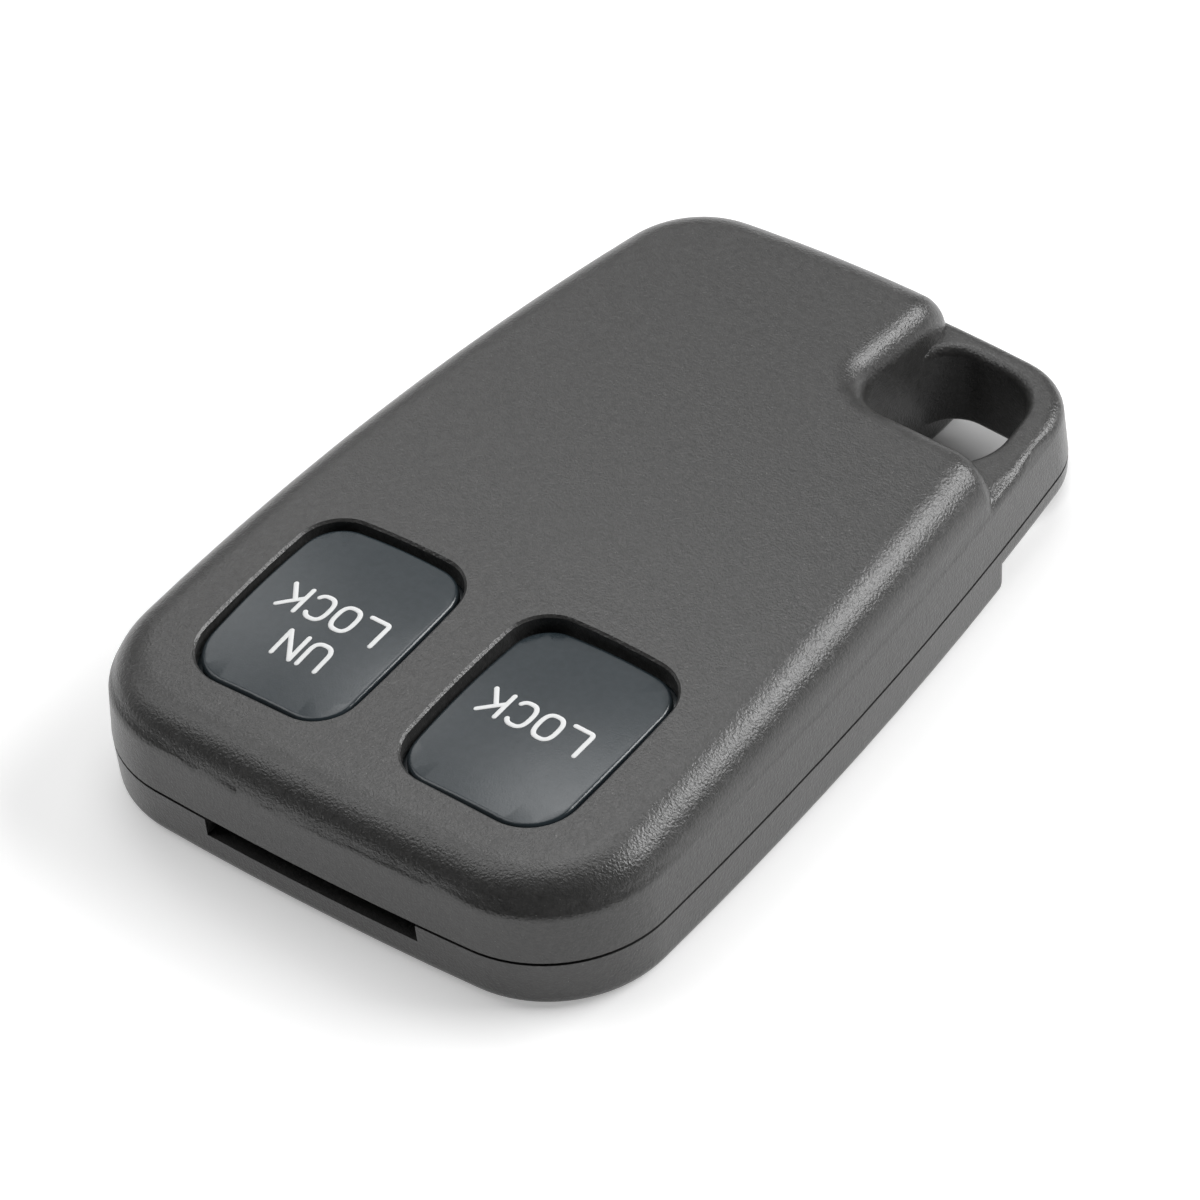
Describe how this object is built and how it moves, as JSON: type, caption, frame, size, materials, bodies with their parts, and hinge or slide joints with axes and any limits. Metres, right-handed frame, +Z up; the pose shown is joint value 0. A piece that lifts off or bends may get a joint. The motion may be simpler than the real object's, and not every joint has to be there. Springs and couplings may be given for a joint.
{
  "type": "key fob",
  "caption": "Flat two-button car key fob: a domed snap-together case with a key-ring eye through one corner, and the cell, board and push switches inside it.",
  "frame": {"origin": "middle of the fob's plan, on the flat underside of the back cover", "axes": "+Z up through the buttons' faces, +Y towards the key-ring end, +X to the right-hand side, where the eye is, seen from above with the key-ring end at the top"},
  "size_m": [0.0396, 0.058, 0.0113],
  "materials": {
    "case_plastic": "fine moulded texture, satin",
    "button_plastic": "smooth satin",
    "legend_paint": "printed, matt white",
    "silicone": "matt silicone",
    "board_laminate": "green solder mask over glass laminate",
    "copper_trace": "copper under solder mask, and tinned pads",
    "cell_steel": "bright stainless steel",
    "cell_gasket": "translucent nylon",
    "lithium": "dull metal disc",
    "manganese_oxide": "pressed black powder",
    "contact_metal": "nickel-plated spring strip",
    "chip_plastic": "black moulding compound",
    "tinned_metal": "tinned copper",
    "ceramic": "white ceramic",
    "lid_metal": "gold-plated lid",
    "crystal_can": "nickel-plated can",
    "capacitor_ceramic": "tan ceramic with tinned ends",
    "resistor_black": "black film with tinned ends",
    "antenna_metal": "copper strip",
    "switch_plastic": "black glass-filled plastic",
    "switch_steel": "pressed steel",
    "plunger_plastic": "dark brown plastic"
  },
  "bodies": {
    "base": {"antenna_strip": "antenna_metal", "back_cover": "case_plastic", "battery_anode": "lithium", "battery_can": "cell_steel", "battery_cap": "cell_steel", "battery_cathode": "manganese_oxide", "battery_clip": "contact_metal", "battery_gasket": "cell_gasket", "battery_leaf": "contact_metal", "chip_capacitors": "capacitor_ceramic", "chip_resistors": "resistor_black", "circuit_board": "board_laminate", "encoder_chip": "chip_plastic", "encoder_chip_leads": "tinned_metal", "lock_snap_dome": "switch_steel", "lock_switch_base": "switch_plastic", "lock_switch_frame": "switch_steel", "lock_switch_terminals": "tinned_metal", "radio_transistor": "chip_plastic", "radio_transistor_leads": "tinned_metal", "resonator_base": "ceramic", "resonator_lid": "lid_metal", "timing_crystal": "crystal_can", "unlock_snap_dome": "switch_steel", "unlock_switch_base": "switch_plastic", "unlock_switch_frame": "switch_steel", "unlock_switch_terminals": "tinned_metal"},
    "front_cover": {"front_cover": "case_plastic", "keypad_membrane": "silicone"},
    "unlock_button": {"unlock_button": "button_plastic"},
    "lock_button": {"lock_button": "button_plastic"},
    "unlock_plunger": {"unlock_switch_plunger": "plunger_plastic"},
    "lock_plunger": {"lock_switch_plunger": "plunger_plastic"}
  },
  "joints": [
    {"name": "front_cover_lift", "type": "slide", "parent": "base", "child": "front_cover", "axis": [0, 0, 1], "range_m": [0, 0.012]},
    {"name": "unlock_button_press", "type": "slide", "parent": "front_cover", "child": "unlock_button", "axis": [0, 0, -1], "range_m": [0, 0.0003], "stiffness_N_per_m": 300, "deforming": ["keypad_membrane"]},
    {"name": "unlock_plunger_press", "type": "slide", "parent": "base", "child": "unlock_plunger", "axis": [0, 0, -1], "range_m": [0, 0.0003], "deforming": ["unlock_snap_dome"]},
    {"name": "lock_button_press", "type": "slide", "parent": "front_cover", "child": "lock_button", "axis": [0, 0, -1], "range_m": [0, 0.0003], "stiffness_N_per_m": 300, "deforming": ["keypad_membrane"]},
    {"name": "lock_plunger_press", "type": "slide", "parent": "base", "child": "lock_plunger", "axis": [0, 0, -1], "range_m": [0, 0.0003], "deforming": ["lock_snap_dome"]}
  ],
  "couplings": [
    {"joint": "unlock_plunger_press", "follows": "unlock_button_press", "ratio": 1},
    {"joint": "lock_plunger_press", "follows": "lock_button_press", "ratio": 1}
  ]
}
